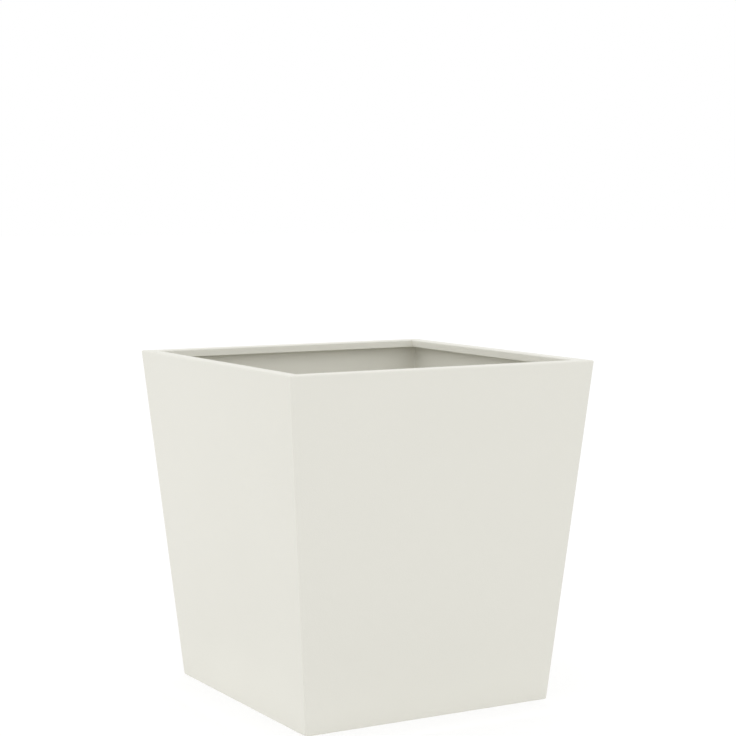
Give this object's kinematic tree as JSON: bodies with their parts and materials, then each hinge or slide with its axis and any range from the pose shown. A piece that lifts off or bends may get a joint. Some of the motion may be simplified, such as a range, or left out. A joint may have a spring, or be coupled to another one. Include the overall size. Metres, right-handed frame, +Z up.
{
  "type": "tapered square floor planter",
  "caption": "Tapered square floor planter of powder-coated folded sheet steel, with an inward rim, an open top and a screwed base tray with drain holes.",
  "frame": {"origin": "middle of the footprint, on the surface that the planter stands on", "axes": "+Z up; the front face looks along -Y and the right-hand face along +X, and the folded corner of the front half lies between them at +X, -Y"},
  "size_m": [0.4396, 0.4396, 0.448],
  "materials": {
    "powder_coat": "warm off-white powder coat, fine satin texture",
    "zinc_plate": "bright zinc plating"
  },
  "bodies": {
    "root": {"front_wall_half": "powder_coat", "rear_wall_half": "powder_coat", "base_tray": "powder_coat", "left_seam_studs": "zinc_plate", "left_seam_washers": "zinc_plate", "left_seam_nuts": "zinc_plate", "right_seam_studs": "zinc_plate", "right_seam_washers": "zinc_plate", "right_seam_nuts": "zinc_plate", "front_base_screws": "zinc_plate", "front_base_washers": "zinc_plate", "front_base_nuts": "zinc_plate", "right_base_screws": "zinc_plate", "right_base_washers": "zinc_plate", "right_base_nuts": "zinc_plate", "rear_base_screws": "zinc_plate", "rear_base_washers": "zinc_plate", "rear_base_nuts": "zinc_plate", "left_base_screws": "zinc_plate", "left_base_washers": "zinc_plate", "left_base_nuts": "zinc_plate"}
  },
  "joints": []
}
